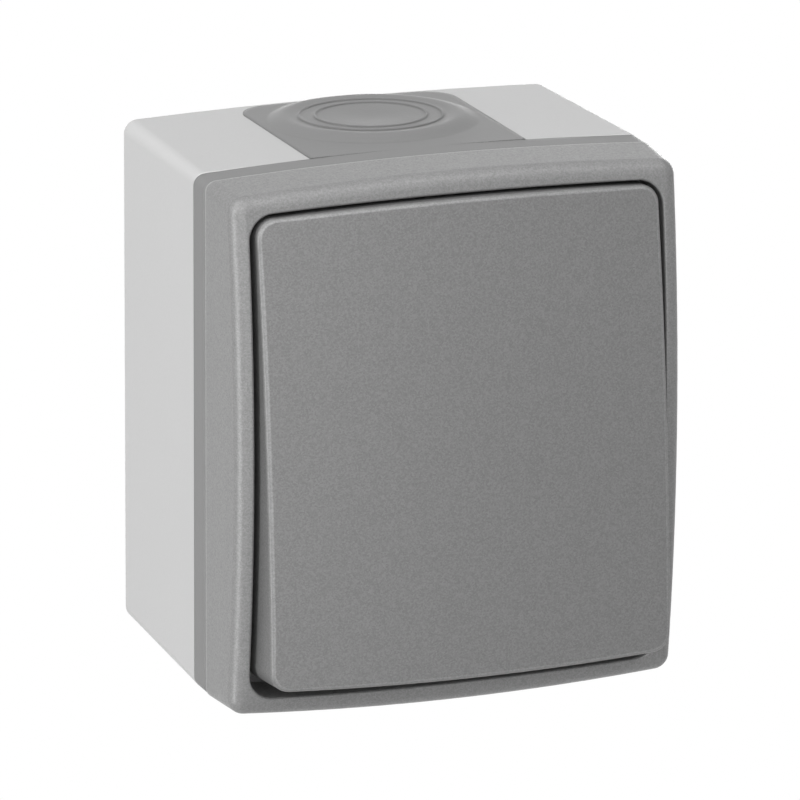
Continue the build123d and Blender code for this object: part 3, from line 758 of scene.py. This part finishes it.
class BELLPUSH_OT_stage(bpy.types.Operator):
    """Set the camera, the lamps, the world and the floor"""
    bl_idname = "bellpush.stage"
    bl_label = "Studio"

    def execute(self, context):
        look = context.scene.bell_studio
        self.place_camera(context, look)
        self.light(context)
        self.lay_floor(context, look)
        context.scene.view_settings.view_transform = "Standard"
        return {"FINISHED"}

    def place_camera(self, context, look):
        """Camera at the photo's angle, looking at a point half way into the object."""
        azimuth, elevation, roll = look.azimuth, look.elevation, look.roll
        back = Vector((math.sin(azimuth) * math.cos(elevation), -math.cos(azimuth) * math.cos(elevation),
                       math.sin(elevation)))
        right = Vector((0, 0, 1)).cross(back).normalized()
        up = back.cross(right)
        right, up = (math.cos(roll) * right + math.sin(roll) * up,
                     math.cos(roll) * up - math.sin(roll) * right)
        target = Vector(TARGET) * MM
        place = target + back * look.distance - right * SHIFT[0] * MM - up * SHIFT[1] * MM
        data = bpy.data.cameras.new("Camera")
        data.lens = look.lens
        data.sensor_width = 36.0
        data.clip_start = 0.1
        camera = bpy.data.objects.new("Camera", data)
        context.collection.objects.link(camera)
        turn = Matrix((right, up, back)).transposed().to_4x4()
        camera.matrix_world = Matrix.Translation(place) @ turn
        context.scene.camera = camera

    def light(self, context):
        for name, (place, size, watts) in LAMPS.items():
            soft_lamp(name, place, LIT_POINT, size, watts)
        world = bpy.data.worlds.new("Studio")
        context.scene.world = world
        world.use_nodes = True
        tree = world.node_tree
        tree.links.new(backdrop_white(tree, WORLD_LIGHT), tree.nodes["Background"].inputs["Strength"])
        tree.nodes["Background"].inputs["Color"].default_value = (1.0, 1.0, 1.0, 1.0)

    def lay_floor(self, context, look):
        """Wide round floor, well below the object, since a wall holds it."""
        shape = bmesh.new()
        bmesh.ops.create_circle(shape, cap_ends=True, radius=FLOOR_RADIUS, segments=96)
        lowest = CAD_BOX[0][2]
        bmesh.ops.translate(shape, verts=shape.verts, vec=(0, 0, lowest - look.floor_drop))
        mesh = bpy.data.meshes.new("Floor")
        shape.to_mesh(mesh)
        shape.free()
        floor = bpy.data.objects.new("Floor", mesh)
        context.collection.objects.link(floor)
        material = bpy.data.materials.new("Pale floor")
        material.use_nodes = True
        tree = material.node_tree
        shader = tree.nodes["Principled BSDF"]
        shader.inputs["Base Color"].default_value = (0.8, 0.8, 0.8, 1.0)
        shader.inputs["Roughness"].default_value = 0.9
        white = tree.nodes.new("ShaderNodeEmission")
        mix = tree.nodes.new("ShaderNodeMixShader")
        tree.links.new(seen_ray(tree), mix.inputs["Fac"])
        tree.links.new(shader.outputs["BSDF"], mix.inputs[1])
        tree.links.new(white.outputs["Emission"], mix.inputs[2])
        tree.links.new(mix.outputs["Shader"], tree.nodes["Material Output"].inputs["Surface"])
        mesh.materials.append(material)


class BELLPUSH_PT_panel(bpy.types.Panel):
    """Lists the steps that dress the bell push"""
    bl_idname = "BELLPUSH_PT_panel"
    bl_label = "Bell push"
    bl_space_type = "VIEW_3D"
    bl_region_type = "UI"
    bl_category = "Bell Push"

    def draw(self, context):
        for step in STEPS:
            self.layout.operator(step.bl_idname)
        for group in PROPERTIES:
            look = getattr(context.scene, group)
            box = self.layout.box()
            for name in look.bl_rna.properties.keys():
                if name not in ("rna_type", "name"):
                    box.prop(look, name)


STEPS = [BELLPUSH_OT_stage, BELLPUSH_OT_box, BELLPUSH_OT_seals, BELLPUSH_OT_frame, BELLPUSH_OT_push_plate,
         BELLPUSH_OT_block, BELLPUSH_OT_metalwork, BELLPUSH_OT_screws, BELLPUSH_OT_contacts,
         BELLPUSH_OT_spring]
PROPERTIES = {"bell_mouldings": MouldingLook, "bell_seals": SealLook, "bell_lacquer": LacquerLook,
              "bell_metals": MetalLook, "bell_fixings": FixingLook, "bell_studio": StudioLook}


def register():
    for group in PROPERTIES.values():
        bpy.utils.register_class(group)
    for name, group in PROPERTIES.items():
        setattr(bpy.types.Scene, name, bpy.props.PointerProperty(type=group))
    for step in STEPS:
        bpy.utils.register_class(step)
    bpy.utils.register_class(BELLPUSH_PT_panel)


def unregister():
    bpy.utils.unregister_class(BELLPUSH_PT_panel)
    for step in reversed(STEPS):
        bpy.utils.unregister_class(step)
    for name, group in PROPERTIES.items():
        delattr(bpy.types.Scene, name)
        bpy.utils.unregister_class(group)


def main():
    register()
    bpy.ops.bellpush.stage()
    bpy.ops.bellpush.box()
    bpy.ops.bellpush.seals()
    bpy.ops.bellpush.frame()
    bpy.ops.bellpush.push_plate()
    bpy.ops.bellpush.block()
    bpy.ops.bellpush.metalwork()
    bpy.ops.bellpush.screws()
    bpy.ops.bellpush.contacts()
    bpy.ops.bellpush.spring()


if __name__ == "__main__":
    main()
